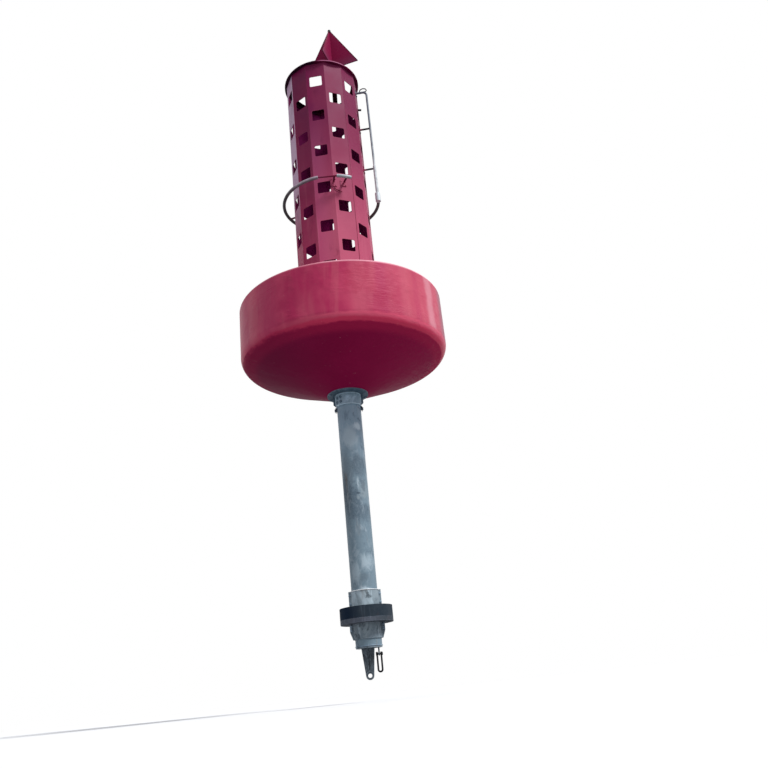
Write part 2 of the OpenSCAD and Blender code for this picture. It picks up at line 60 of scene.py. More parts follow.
def look_matrix(at, yaw, pitch, roll):
    """The camera's matrix from yaw towards +X, pitch upwards and roll."""
    ahead = Vector((math.sin(yaw) * math.cos(pitch), math.cos(yaw) * math.cos(pitch), math.sin(pitch)))
    level = Vector((math.cos(yaw), -math.sin(yaw), 0.0))
    over = level.cross(ahead)
    right = math.cos(roll) * level + math.sin(roll) * over
    top = -math.sin(roll) * level + math.cos(roll) * over
    turn = Matrix((right, top, -ahead)).transposed().to_4x4()
    return Matrix.Translation(at) @ turn


camera_data = bpy.data.cameras.new("camera")
camera_data.sensor_fit = "HORIZONTAL"
camera_data.sensor_width = SENSOR_MM
camera_data.lens = SENSOR_MM * FOCAL_PX / PICTURE
camera_data.clip_end = SIGHT
camera = bpy.data.objects.new("camera", camera_data)
camera.matrix_world = look_matrix(CAMERA_AT, CAMERA_YAW, CAMERA_PITCH, CAMERA_ROLL)
bpy.context.scene.collection.objects.link(camera)
bpy.context.scene.camera = camera
bpy.context.scene.view_settings.view_transform = "Standard"

# Colours, and tints of the shine on paint, that several finishes share
RUST = (0.17, 0.115, 0.075)
WEED = (0.060, 0.078, 0.095)
# TOWER_RED at the foot to HIGH_RED at the top: painted light and shade on the tower.
TOWER_RED = (0.49, 0.050, 0.135)
HIGH_RED = (0.143, 0.004, 0.055)
# INNER_RED and INNER_HIGH_RED: the darker red inside the tower, painted shade.
INNER_RED = (0.24, 0.003, 0.088)
INNER_HIGH_RED = (0.150, 0.003, 0.068)
CHALK = (0.58, 0.16, 0.23)
EDGE_RED = (0.075, 0.005, 0.024)
TOP_RED = (0.24, 0.005, 0.056)
BAR_RED = (0.17, 0.004, 0.036)
RIM_RED = (0.15, 0.003, 0.045)
RED_SHEEN = (1.0, 0.45, 0.58)


def toned(colour, factor, lift=0.0):
    """A colour made darker or brighter, with no channel over 1."""
    return tuple(min(1.0, factor * c + lift) for c in colour)


def colour_sockets(sockets):
    """Those of a Mix node's sockets that carry colour."""
    return [socket for socket in sockets if socket.type == "RGBA"]


class Shader:
    """A Principled material built from nodes, placed by the object's own coordinates in metres."""

    def __init__(self, name, specular=0.5, tint=(1, 1, 1)):
        self.material = bpy.data.materials.new(name)
        self.material.use_nodes = True
        self.tree = self.material.node_tree
        self.shader = self.tree.nodes["Principled BSDF"]
        self.shader.inputs["Specular IOR Level"].default_value = specular
        self.shader.inputs["Specular Tint"].default_value = (*tint, 1.0)
        self.place = self.tree.nodes.new("ShaderNodeTexCoord").outputs["Object"]
        self.normal = self.tree.nodes.new("ShaderNodeNewGeometry").outputs["Normal"]

    def link(self, value, socket):
        """A socket's link or, for a plain value, its setting."""
        if isinstance(value, bpy.types.NodeSocket):
            self.tree.links.new(value, socket)
        else:
            socket.default_value = value

    def stretched(self, stretch):
        """The coordinates multiplied by stretch, so that a large factor makes a pattern short that way."""
        if stretch == (1, 1, 1):
            return self.place
        node = self.tree.nodes.new("ShaderNodeVectorMath")
        node.operation = "MULTIPLY"
        self.link(self.place, node.inputs[0])
        node.inputs[1].default_value = stretch
        return node.outputs[0]

    def noise(self, scale, detail=3.0, roughness=0.55, stretch=(1, 1, 1), distortion=0.0):
        """Cloudy noise from 0 to 1, with scale times stretch as its features per metre."""
        node = self.tree.nodes.new("ShaderNodeTexNoise")
        self.link(self.stretched(stretch), node.inputs["Vector"])
        node.inputs["Scale"].default_value = scale
        node.inputs["Detail"].default_value = detail
        node.inputs["Roughness"].default_value = roughness
        node.inputs["Distortion"].default_value = distortion
        return node.outputs["Fac"]

    def cells(self, scale):
        """The zinc's spangle: a value of its own for each small cell."""
        node = self.tree.nodes.new("ShaderNodeTexVoronoi")
        self.link(self.place, node.inputs["Vector"])
        node.inputs["Scale"].default_value = scale
        tint = self.tree.nodes.new("ShaderNodeSeparateColor")
        self.link(node.outputs["Color"], tint.inputs[0])
        return tint.outputs[0]

    def part(self, vector, index):
        """X, Y or Z of a vector, by index 0, 1 or 2."""
        node = self.tree.nodes.new("ShaderNodeSeparateXYZ")
        self.link(vector, node.inputs[0])
        return node.outputs[index]

    def coordinates(self):
        return [self.part(self.place, index) for index in range(3)]

    def span(self, value, low, high, to_low=0.0, to_high=1.0):
        """value from low..high carried to to_low..to_high, clamped and eased."""
        node = self.tree.nodes.new("ShaderNodeMapRange")
        node.interpolation_type = "SMOOTHSTEP"
        self.link(value, node.inputs["Value"])
        node.inputs["From Min"].default_value = low
        node.inputs["From Max"].default_value = high
        node.inputs["To Min"].default_value = to_low
        node.inputs["To Max"].default_value = to_high
        return node.outputs["Result"]

    def sum(self, first, second, operation="ADD"):
        """first plus second, or what another operation of the Math node makes of them."""
        node = self.tree.nodes.new("ShaderNodeMath")
        node.operation = operation
        self.link(first, node.inputs[0])
        self.link(second, node.inputs[1])
        return node.outputs[0]

    def times(self, first, second):
        return self.sum(first, second, "MULTIPLY")

    def size_of(self, value):
        return self.sum(value, 0.0, "ABSOLUTE")

    def length(self, first, second):
        """The root of the sum of two squares."""
        return self.sum(self.sum(self.times(first, first), self.times(second, second)), 0.5, "POWER")

    def mix(self, share, first, second):
        """The colour first with a share of second over it."""
        node = self.tree.nodes.new("ShaderNodeMix")
        node.data_type = "RGBA"
        self.link(share, node.inputs["Factor"])
        for value, socket in zip((first, second), colour_sockets(node.inputs)):
            self.link((*value, 1.0) if isinstance(value, tuple) else value, socket)
        return colour_sockets(node.outputs)[0]

    def coat(self, colour, mask, share, tint):
        """colour with a share of tint over it where mask is 1."""
        return self.mix(self.times(mask, share), colour, tint)

    def inward(self):
        """1 on faces that look towards the buoy's axis, else 0."""
        along_x = self.times(self.part(self.normal, 0), self.part(self.place, 0))
        along_y = self.times(self.part(self.normal, 1), self.part(self.place, 1))
        return self.span(self.sum(along_x, along_y), -0.02, -0.12)

    def edges(self, radius):
        """Near 1 along sharp edges of the shape, where paint and zinc wear and where their paler edges are
        also a painted highlight.
        """
        bevel = self.tree.nodes.new("ShaderNodeBevel")
        bevel.samples = 4
        bevel.inputs["Radius"].default_value = radius
        node = self.tree.nodes.new("ShaderNodeVectorMath")
        node.operation = "DOT_PRODUCT"
        self.link(bevel.outputs[0], node.inputs[0])
        self.link(self.normal, node.inputs[1])
        return self.span(node.outputs["Value"], 0.995, 0.90)

    def blot(self, x, z, reach_x, reach_z):
        """A soft ragged stain, 1 at its middle, on the side that faces -Y."""
        ragged = 1.7
        across = self.times(self.sum(self.part(self.place, 0), -x), 1.0 / reach_x)
        along = self.times(self.sum(self.part(self.place, 2), -z), 1.0 / reach_z)
        edge = self.times(self.noise(13.0, 6, 0.70, stretch=(1, 1, 0.55), distortion=0.8), ragged)
        front = self.span(self.part(self.place, 1), 0.02, -0.02)
        far = self.sum(self.length(across, along), edge)
        return self.times(self.span(far, 1.0 + 0.5 * ragged, 0.3 + 0.5 * ragged), front)

    def finish(self, colour, roughness, relief, strength, distance, metallic=None):
        """The material, with its colour, roughness and the bump of its relief in place."""
        self.link(colour, self.shader.inputs["Base Color"])
        self.link(roughness, self.shader.inputs["Roughness"])
        if metallic is not None:
            self.link(metallic, self.shader.inputs["Metallic"])
        bump = self.tree.nodes.new("ShaderNodeBump")
        bump.inputs["Strength"].default_value = strength
        bump.inputs["Distance"].default_value = distance
        self.link(relief, bump.inputs["Height"])
        self.link(bump.outputs["Normal"], self.shader.inputs["Normal"])
        return self.material


def float_side(s, patches, x):
    """Colour of the float's side: cloudy red, paler to the right as painted light, darker at the right edge
    as painted shade, with upright bands of painted shade, light and highlight, and scuffs.
    """
    dull = (0.440, 0.028, 0.098)
    clear = (0.545, 0.058, 0.132)
    painted_lit_side = (0.62, 0.115, 0.165)
    shaded = (0.450, 0.032, 0.112)
    wear_and_highlight = (0.660, 0.160, 0.212)
    painted_highlight = (0.760, 0.330, 0.390)
    colour = s.mix(s.span(patches, 0.38, 0.62), dull, clear)
    streaks = s.noise(1.0, 3, 0.6, stretch=(3.4, 3.4, 0.45), distortion=0.9)
    colour = s.coat(colour, s.span(streaks, 0.46, 0.66), 0.38, (0.60, 0.125, 0.175))
    # Paler to the right is painted light, and the darker right edge is painted shade.
    colour = s.coat(colour, s.span(x, -0.15, 1.05), 0.55, painted_lit_side)
    colour = s.coat(colour, s.span(x, 1.00, 1.06), 0.75, (0.26, 0.105, 0.150))
    wavy = s.sum(s.sum(x, -0.04), s.times(s.noise(1.0, 4, 0.6, stretch=(2.0, 2.0, 3.0)), 0.08))
    # Upright bands: painted shade, painted light, and a painted highlight near the right edge.
    for middle, reach, share, tint in (
        (-0.72, 0.16, 0.50, shaded),
        (0.20, 0.13, 0.30, wear_and_highlight),
        (0.42, 0.08, 0.42, shaded),
        (0.65, 0.07, 0.30, wear_and_highlight),
        (0.77, 0.05, 0.25, shaded),
        (0.92, 0.055, 0.60, painted_highlight),
    ):
        beside = s.size_of(s.sum(wavy, -middle))
        colour = s.coat(colour, s.span(beside, reach, 0.2 * reach), share, tint)
    scuffs = s.span(s.noise(2.6, 6, 0.7), 0.54, 0.70)
    return s.coat(colour, scuffs, 0.40, (0.43, 0.022, 0.072))


def float_underside(s, x, y, right):
    """Colour of the float's underside: deep red, darkest on the left as painted shade, brighter to the right
    as painted light, and paler by the rim as a painted reflection.
    """
    deep = s.mix(s.span(s.noise(1.3, 5, 0.6), 0.35, 0.7), (0.290, 0.0030, 0.056), (0.350, 0.0055, 0.070))
    # Darker to the left is painted shade, brighter to the right is painted light.
    deep = s.coat(deep, s.span(x, 0.15, -0.85), 0.75, (0.185, 0.0050, 0.046))
    deep = s.coat(deep, s.span(x, -0.1, 0.85), 0.6, (0.400, 0.0060, 0.076))
    # The paler band by the rim, stronger to the right, is a painted reflection.
    rim = s.times(s.span(s.length(x, y), 0.90, 0.99), s.span(right, 0.0, 1.0, 0.22, 0.50))
    return s.mix(rim, deep, (0.58, 0.018, 0.090))


def float_relief(s, x, z):
    """Ripples in patches, upright dents, creases low on the right and a fine grain."""
    ripples = s.noise(1.0, 4, 0.65, stretch=(6.0, 6.0, 27.0), distortion=0.7)
    ripples = s.times(ripples, s.span(s.noise(2.3, 3, 0.6), 0.44, 0.60))
    dents = s.times(s.noise(1.0, 2, 0.5, stretch=(3.0, 3.0, 0.8), distortion=0.5), 2.2)
    relief = s.sum(s.sum(s.times(ripples, 1.4), dents), s.times(s.noise(7.0, 5, 0.65), 0.5))
    creased = s.times(s.span(z, 0.12, -0.08), s.span(x, 0.20, 0.70))
    creases = s.noise(1.0, 4, 0.7, stretch=(9.0, 9.0, 22.0), distortion=1.8)
    relief = s.sum(relief, s.times(s.times(creases, creased), 2.2))
    return s.sum(relief, s.times(s.noise(170.0, 2, 0.5), 0.03))


def float_skin():
    """Sprayed elastomer over foam: side, a turn with painted light and shade, underside, nicks, a dirty top
    and a lip with a painted highlight.
    """
    s = Shader("float_skin", specular=0.10, tint=(1.0, 0.60, 0.68))
    x, y, z = s.coordinates()
    patches = s.noise(1.7, 4, 0.6)
    colour = float_side(s, patches, x)

    # The turn from the side to the underside and to the top follows the slope, with a ragged border
    up = s.part(s.normal, 2)
    coarse = s.times(s.noise(3.2, 3, 0.6), 0.16)
    fine = s.times(s.noise(1.0, 4, 0.7, stretch=(9.0, 9.0, 26.0)), 0.26)
    tilt = s.sum(up, s.sum(s.sum(coarse, fine), -0.195))
    right = s.span(x, -0.95, 0.15)
    # A pale band on the turn, stronger to the right: painted light.
    painted_lit_band = s.times(s.span(tilt, -0.04, -0.30), s.span(right, 0.0, 1.0, 0.15, 0.80))
    colour = s.mix(painted_lit_band, colour, (0.84, 0.115, 0.205))
    # A crimson band below it, darker to the left and brighter to the right: painted shade and painted light.
    painted_turn_shading = s.times(s.span(tilt, -0.40, -0.62), s.span(right, 0.0, 1.0, 0.75, 0.90))
    colour = s.mix(painted_turn_shading, colour, s.mix(right, (0.50, 0.020, 0.085), (0.80, 0.048, 0.130)))
    # The underside's deeper red is partly the skin's own and partly painted shade; its border sits lower on
    # the right as painted light.
    lean = s.times(s.times(s.part(s.normal, 0), s.sum(up, 0.93)), s.span(up, -0.40, -0.60))
    under = s.span(s.sum(tilt, lean), -0.73, -0.855)
    colour = s.mix(under, colour, float_underside(s, x, y, right))

    nicks = s.span(s.noise(34.0, 3, 0.6, stretch=(1, 1, 2.2)), 0.70, 0.75)
    colour = s.coat(colour, nicks, 0.35, (0.72, 0.30, 0.34))
    top = s.span(tilt, 0.86, 0.98)
    dirt = s.span(s.noise(1.9, 5, 0.62, distortion=0.5), 0.42, 0.64)
    colour = s.mix(top, colour, s.mix(dirt, (0.46, 0.040, 0.085), (0.34, 0.034, 0.058)))
    # The paler lip at the top edge, strongest to the right, is a painted highlight.
    lip = s.times(s.span(z, 0.452, 0.470), s.span(top, 1.0, 0.0))
    lip = s.times(lip, s.span(x, -0.70, 0.10, 0.35, 1.0))
    uneven = s.span(s.noise(2.0, 3), 0.35, 0.6, 0.50, 0.85)
    colour = s.coat(colour, lip, uneven, (0.86, 0.40, 0.48))
    rough = s.span(s.sum(patches, s.times(under, 0.8)), 0.3, 1.3, 0.38, 0.62)
    return s.finish(colour, rough, float_relief(s, x, z), 0.30, 0.012)


def painted_sky_reflection(s, colour, patches, x, z):
    """Painted reflection: facets to the left turned a pale lilac high up, and a trace of it on the one that
    faces -Y.
    """
    face_x = s.part(s.normal, 0)
    side_on = s.span(face_x, -0.80, -0.92)
    reflected = s.times(side_on, s.span(s.sum(z, s.times(patches, 1.2)), 1.9, 2.8))
    reflected = s.times(reflected, s.span(s.part(s.normal, 1), 0.16, -0.34, 0.30, 0.80))
    colour = s.mix(reflected, colour, (0.63, 0.43, 0.59))
    ahead = s.times(s.span(face_x, -0.50, -0.30), s.span(face_x, 0.20, 0.0))
    trace = s.times(s.times(ahead, s.span(x, 0.04, -0.14)), s.span(z, 3.2, 2.2))
    return s.coat(colour, trace, 0.09, (0.85, 0.34, 0.60))


def paint(name, low, high, chalk, inner=(INNER_RED, INNER_HIGH_RED), outer=None, low_tint=None):
    """Weathered paint: low near the float, high far up as painted light and shade, with run-off, grime,
    chips, and edges of wear and painted highlight.

    inner is the pair of colours inside the tower, darker as painted shade. outer, where given, is the colour
    beyond the tower's face instead. The last argument, where given, is a height and a greyish lilac colour
    below it.
    """
    s = Shader(name, specular=0.10, tint=RED_SHEEN)
    x, y, z = s.coordinates()
    patches = s.noise(2.1, 5, 0.6)
    # From low at the foot to high at the top: painted light and shade.
    rise = s.span(s.sum(z, s.times(patches, 0.5)), 0.8, 3.3)
    colour = s.mix(rise, low, high)
    colour = s.coat(colour, s.span(patches, 0.35, 0.68), 0.30, toned(low, 0.62))
    # Chalkier towards the right and low down: painted light.
    painted_lit_side = s.times(s.span(x, -0.24, 0.0), s.span(rise, 1.0, 0.0, 0.10, 0.40))
    colour = s.mix(painted_lit_side, colour, chalk)
    runs = s.span(s.noise(1.0, 4, 0.6, stretch=(11.0, 11.0, 0.6)), 0.50, 0.72)
    colour = s.coat(colour, runs, s.span(rise, 0.0, 1.0, 0.35, 0.03), chalk)
    # Pale lilac on the left facets and a trace on the front one: painted reflection.
    colour = painted_sky_reflection(s, colour, patches, x, z)
    grime = s.span(s.noise(5.0, 6, 0.7, stretch=(1, 1, 0.35)), 0.56, 0.74)
    colour = s.coat(colour, grime, 0.45, toned(high, 0.45))
    chips = s.span(s.noise(60.0, 2, 0.6), 0.75, 0.78)
    colour = s.coat(colour, chips, 0.5, (0.30, 0.20, 0.19))
    # Pale edges: wear, and also a painted highlight on the edges.
    wear_and_highlight = s.times(s.edges(0.006), s.span(s.noise(9.0, 4, 0.7), 0.35, 0.62))
    colour = s.coat(colour, wear_and_highlight, 0.45, chalk)
    # Inside the tower the paint is darker: painted shade.
    inside = s.inward()
    if outer is None:
        colour = s.mix(inside, colour, s.mix(rise, *inner))
    else:
        colour = s.mix(s.span(s.length(x, y), 0.452, 0.462), colour, outer)
    # Below the given height the paint takes a greyish lilac tint.
    if low_tint is not None:
        below, tint = low_tint
        low_down = s.span(s.sum(z, s.times(patches, 0.2)), below + 0.1, below - 0.15)
        colour = s.coat(colour, low_down, 0.6, tint)
    relief = s.sum(s.times(s.noise(6.0, 3), 0.6), s.times(s.noise(240.0, 2), 0.03))
    rough = s.sum(s.span(patches, 0.3, 0.7, 0.42, 0.56), s.times(inside, 0.4))
    return s.finish(colour, rough, relief, 0.16, 0.006)


def rim_paint():
    """Paint of the tower's rim: nearly black on the left as painted shade, paler on its front edge as a
    painted highlight.
    """
    s = Shader("rim_paint", specular=0.08, tint=RED_SHEEN)
    x, y = s.coordinates()[:2]
    patches = s.noise(5.0, 5, 0.65)
    colour = s.mix(s.span(patches, 0.35, 0.68), RIM_RED, toned(RIM_RED, 0.6))
    # Nearly black to the left: painted shade.
    painted_shade_left = s.span(s.sum(x, s.times(patches, 0.10)), 0.06, -0.06)
    colour = s.coat(colour, painted_shade_left, 0.88, (0.014, 0.005, 0.015))
    # Paler on the front edge: a painted highlight.
    upright = s.span(s.size_of(s.part(s.normal, 2)), 0.75, 0.35)
    front = s.times(s.times(s.span(x, -0.05, 0.03), s.span(x, 0.34, 0.24)), s.span(y, 0.0, -0.1))
    painted_lit_band = s.times(s.times(upright, s.span(s.length(x, y), 0.450, 0.458)), front)
    colour = s.coat(colour, painted_lit_band, 0.85, (0.46, 0.150, 0.270))
    relief = s.sum(s.times(s.noise(9.0, 4), 0.6), s.times(s.noise(240.0, 2), 0.05))
    return s.finish(colour, s.span(patches, 0.3, 0.7, 0.46, 0.64), relief, 0.2, 0.004)


def rust_zones(s):
    """Large soft patches where rust runs show."""
    return s.span(s.noise(1.0, 3, 0.6, stretch=(2.8, 2.8, 2.2), distortion=0.3), 0.50, 0.62)


def zinc_relief(s, patches):
    """Slight unevenness of the zinc coat."""
    return s.sum(s.times(patches, 0.5), s.times(s.noise(120.0, 3), 0.12))


def zinc(name, dark, light, stain, weed=0.0, rust_share=0.5, bright=1.5):
    """Galvanised steel: spangle, bright patches of wear, pale edges of wear and painted highlight, dark weed
    stains and rust runs.

    weed widens the stains, and bright is how much paler than light the places of wear are.
    """
    s = Shader(name, specular=0.30)
    pale = toned(light, bright, 0.02)
    patches = s.noise(2.6, 6, 0.68, stretch=(1, 1, 0.8), distortion=0.5)
    colour = s.mix(s.span(patches, 0.40, 0.60), dark, light)
    colour = s.coat(colour, s.cells(85.0), 0.20, toned(light, 1.3))
    clouds = s.span(s.noise(4.6, 5, 0.66, stretch=(1, 1, 0.7), distortion=0.9), 0.50, 0.64)
    colour = s.coat(colour, clouds, 0.65, pale)
    streaks = s.span(s.noise(1.0, 5, 0.7, stretch=(22.0, 22.0, 2.4), distortion=0.8), 0.54, 0.68)
    zones = s.span(s.noise(1.0, 3, 0.6, stretch=(2.5, 2.5, 3.2)), 0.48, 0.58)
    colour = s.coat(colour, s.times(streaks, zones), 0.65, pale)
    stains = s.noise(3.1, 6, 0.72, stretch=(1.4, 1.4, 0.8), distortion=0.9)
    blots = s.span(stains, 0.58 - weed, 0.66 - weed)
    colour = s.coat(colour, blots, 0.75, stain)
    runs = s.span(s.noise(1.0, 5, 0.65, stretch=(16.0, 16.0, 1.4), distortion=0.4), 0.50, 0.64)
    colour = s.coat(colour, s.times(runs, rust_zones(s)), rust_share, RUST)
    specks = s.span(s.noise(48.0, 4, 0.7), 0.64, 0.72)
    colour = s.coat(colour, specks, 0.5, stain)
    # Pale edges: wear, and also a painted highlight on the edges.
    wear_and_highlight = s.times(s.edges(0.006), s.span(s.noise(14.0, 3, 0.7), 0.30, 0.55, 0.35, 1.0))
    colour = s.coat(colour, wear_and_highlight, 0.65, pale)
    rough = s.span(s.sum(patches, s.times(blots, 0.4)), 0.3, 1.0, 0.42, 0.74)
    metallic = s.times(s.span(blots, 1.0, 0.0), 0.10)
    return s.finish(colour, rough, zinc_relief(s, patches), 0.25, 0.004, metallic)


def tail_zinc():
    """Zinc of the tail tube: paler and bluish at the top as painted light, rusty and dark with damp halfway,
    pale clouds low down, and a painted highlight above the upper clamp.
    """
    s = Shader("tail_zinc", specular=0.28)
    patches = s.noise(3.0, 6, 0.66, stretch=(1, 1, 0.7), distortion=0.5)
    height = s.sum(s.part(s.place, 2), s.times(patches, 0.35))
    # Paler and bluish at the top, under the float's shadow: painted light.
    colour = s.mix(s.span(height, -0.80, -1.20), (0.245, 0.350, 0.440), (0.170, 0.245, 0.300))
    bright = (0.600, 0.710, 0.780)
    pale = (0.415, 0.515, 0.575)
    dull = (0.250, 0.310, 0.345)
    grey = (0.130, 0.180, 0.220)
    damp = (0.088, 0.134, 0.176)
    murky = (0.040, 0.066, 0.092)
    for x, z, reach_x, reach_z, share, tint in (
        (-0.02, -1.02, 0.10, 0.16, 0.80, pale),
        (0.068, -0.90, 0.045, 0.05, 0.85, bright),
        (0.05, -1.31, 0.11, 0.20, 0.85, damp),
        (-0.06, -1.38, 0.08, 0.26, 0.60, grey),
        (-0.03, -1.70, 0.12, 0.24, 0.90, damp),
        (-0.10, -1.62, 0.06, 0.30, 0.80, murky),
        (0.06, -1.80, 0.10, 0.14, 0.80, damp),
        (0.075, -1.58, 0.05, 0.13, 0.70, dull),
        (0.028, -1.50, 0.018, 0.09, 0.80, pale),
        (0.028, -1.605, 0.030, 0.012, 0.90, murky),
        (0.020, -1.65, 0.022, 0.03, 0.80, dull),
        (0.04, -2.28, 0.09, 0.11, 0.80, pale),
        (-0.06, -2.36, 0.05, 0.13, 0.70, pale),
        (0.02, -2.42, 0.07, 0.05, 0.70, grey),
        # These two blots just above the upper clamp are a painted highlight.
        (0.00, -2.56, 0.13, 0.06, 0.85, pale),
        (0.025, -2.55, 0.06, 0.04, 0.90, bright),
    ):
        colour = s.coat(colour, s.blot(x, z, reach_x, reach_z), share, tint)
    colour = s.coat(colour, s.cells(85.0), 0.12, (0.42, 0.50, 0.56))
    clouds = s.span(s.noise(5.5, 6, 0.70, stretch=(1, 1, 0.6), distortion=1.2), 0.54, 0.66)
    colour = s.coat(colour, clouds, 0.32, (0.46, 0.54, 0.60))
    streaks = s.span(s.noise(1.0, 5, 0.7, stretch=(24.0, 24.0, 2.6), distortion=0.8), 0.56, 0.70)
    colour = s.coat(colour, streaks, 0.30, (0.50, 0.56, 0.60))
    grime = s.span(s.noise(7.0, 6, 0.74, stretch=(1.6, 1.6, 0.8), distortion=1.0), 0.55, 0.66)
    colour = s.coat(colour, grime, 0.50, (0.065, 0.095, 0.130))
    runs = s.span(s.noise(1.0, 5, 0.65, stretch=(18.0, 18.0, 1.6), distortion=0.4), 0.52, 0.66)
    colour = s.coat(colour, s.times(runs, rust_zones(s)), 0.5, RUST)
    specks = s.span(s.noise(48.0, 4, 0.7), 0.64, 0.72)
    colour = s.coat(colour, specks, 0.35, (0.060, 0.085, 0.110))
    rough = s.span(s.sum(patches, s.times(grime, 0.4)), 0.3, 1.0, 0.45, 0.74)
    return s.finish(colour, rough, zinc_relief(s, patches), 0.25, 0.004, 0.06)


def pipe_finish(s, colour, scuffs):
    """Roughness and relief of the galvanised pipes."""
    relief = s.sum(s.times(scuffs, 0.4), s.times(s.noise(110.0, 3), 0.2))
    return s.finish(colour, s.span(scuffs, 0.0, 1.0, 0.40, 0.65), relief, 0.3, 0.003)


def hoop_zinc():
    """Pipe zinc of the hoop: pale lilac towards the front as painted light, dark on the left and underneath
    as painted shade, and a darker brown round the right and back.
    """
    s = Shader("hoop_zinc", specular=0.30)
    x = s.part(s.place, 0)
    # Dark on the left is painted shade, pale lilac towards the front is painted light.
    colour = s.mix(s.span(x, -0.50, -0.36), (0.045, 0.053, 0.054), (0.46, 0.37, 0.44))
    scuffs = s.span(s.noise(9.0, 5, 0.7), 0.45, 0.62)
    colour = s.coat(colour, scuffs, 0.4, (0.20, 0.18, 0.20))
    pale = s.span(s.noise(16.0, 4, 0.7, distortion=0.6), 0.56, 0.68)
    colour = s.coat(colour, pale, 0.45, (0.62, 0.60, 0.62))
    brown = s.mix(scuffs, (0.075, 0.060, 0.058), (0.155, 0.140, 0.135))
    colour = s.mix(s.span(x, 0.30, 0.46), colour, brown)
    # Darker underneath: painted shade.
    low = s.span(s.part(s.normal, 2), -0.30, -0.90)
    colour = s.coat(colour, low, 0.60, (0.060, 0.055, 0.060))
    return pipe_finish(s, colour, scuffs)


def rail_zinc():
    """Pipe zinc of the grab rail: dull and bluish at the top, bright and pale towards its foot, partly as
    painted light.
    """
    s = Shader("rail_zinc", specular=0.30)
    height = s.sum(s.part(s.place, 2), s.times(s.noise(4.0, 3, 0.6), 0.20))
    colour = s.mix(s.span(height, 3.05, 2.85), (0.150, 0.175, 0.225), (0.260, 0.290, 0.330))
    colour = s.mix(s.span(height, 2.60, 2.42), colour, (0.640, 0.670, 0.690))
    scuffs = s.span(s.noise(14.0, 5, 0.7), 0.48, 0.64)
    colour = s.coat(colour, scuffs, 0.35, (0.22, 0.24, 0.27))
    pale = s.span(s.noise(19.0, 4, 0.7, distortion=0.6), 0.56, 0.68)
    colour = s.coat(colour, pale, 0.40, (0.70, 0.72, 0.74))
    return pipe_finish(s, colour, scuffs)


def iron(name, dark, light, rust, rust_share, roughness=0.7, shade=None, specular=0.25):
    """Iron: pitted, streaked, with rust and edges of wear and painted highlight. shade is a side in X and the
    tint there.
    """
    s = Shader(name, specular=specular)
    patches = s.noise(5.0, 6, 0.7, stretch=(1, 1, 0.5))
    colour = s.mix(s.span(patches, 0.38, 0.66), dark, light)
    streaks = s.span(s.noise(1.0, 5, 0.7, stretch=(22.0, 22.0, 2.0)), 0.52, 0.70)
    colour = s.coat(colour, streaks, 0.45, toned(light, 1.9))
    if shade is not None:
        side, tint = shade
        colour = s.coat(colour, s.span(s.part(s.place, 0), 0.02 * side, 0.20 * side), 0.85, tint)
    scabs = s.span(s.noise(11.0, 6, 0.75), 0.54, 0.66)
    colour = s.coat(colour, scabs, rust_share, rust)
    # Pale edges: wear, and also a painted highlight on the edges.
    wear_and_highlight = s.times(s.edges(0.008), s.span(s.noise(18.0, 3, 0.7), 0.35, 0.6))
    colour = s.coat(colour, wear_and_highlight, 0.5, toned(light, 2.2))
    relief = s.sum(s.noise(45.0, 5, 0.7), s.times(patches, 0.8))
    rough = s.span(patches, 0.3, 0.7, roughness - 0.12, roughness + 0.12)
    return s.finish(colour, rough, relief, 0.5, 0.004)


MATERIALS = {
    "float_skin": float_skin(),
    "tower_paint": paint("tower_paint", TOWER_RED, HIGH_RED, CHALK),
    "topmark_paint": paint(
        "topmark_paint",
        TOP_RED,
        TOP_RED,
        chalk=(0.36, 0.03, 0.10),
        inner=(TOP_RED, TOP_RED),
        low_tint=(4.16, (0.165, 0.050, 0.105)),
    ),
    "dark_red_paint": paint(
        "dark_red_paint", (0.13, 0.006, 0.034), EDGE_RED, chalk=(0.22, 0.05, 0.08), outer=EDGE_RED
    ),
    # The blue tint of the zincs is partly painted skylight.
    "galvanised": zinc(
        "galvanised", (0.25, 0.28, 0.30), (0.40, 0.44, 0.47), stain=(0.13, 0.15, 0.155), rust_share=0.3
    ),
    "weathered_zinc": zinc("weathered_zinc", (0.135, 0.198, 0.268), (0.285, 0.370, 0.450), stain=WEED),
    "dark_iron": iron(
        "dark_iron",
        (0.024, 0.036, 0.050),
        (0.043, 0.055, 0.069),
        rust=(0.054, 0.046, 0.052),
        rust_share=0.40,
        shade=(-1, (0.004, 0.015, 0.038)),
        specular=0.06,
    ),
    "worn_iron": iron(
        "worn_iron",
        (0.062, 0.074, 0.098),
        (0.105, 0.118, 0.148),
        rust=(0.080, 0.074, 0.085),
        rust_share=0.35,
        shade=(1, (0.032, 0.044, 0.056)),
    ),
    "black_steel": iron(
        "black_steel",
        (0.006, 0.006, 0.009),
        (0.018, 0.018, 0.022),
        rust=(0.04, 0.025, 0.018),
        rust_share=0.3,
        roughness=0.6,
    ),
}

# Nodes whose finish differs from the rest of their slot
# Their blue tint too is partly painted skylight.
flange_zinc = zinc(
    "flange_zinc", (0.050, 0.098, 0.140), (0.125, 0.180, 0.235), stain=(0.035, 0.060, 0.085), rust_share=0.2
)
# The collar's zinc is paler: painted light where the float's shadow falls on it.
collar_zinc = zinc(
    "collar_zinc", (0.180, 0.265, 0.335), (0.310, 0.420, 0.510), stain=(0.09, 0.13, 0.155), rust_share=0.2
)
clamp_zinc = zinc(
    "clamp_zinc",
    (0.145, 0.190, 0.230),
    (0.275, 0.340, 0.380),
    stain=(0.045, 0.062, 0.078),
    weed=0.03,
    bright=1.8,
)
# The yoke's and shackle lug's zinc is dark: painted shade.
yoke_zinc = zinc(
    "yoke_zinc",
    (0.055, 0.074, 0.092),
    (0.130, 0.160, 0.185),
    stain=(0.025, 0.030, 0.036),
    weed=0.05,
    bright=2.0,
)
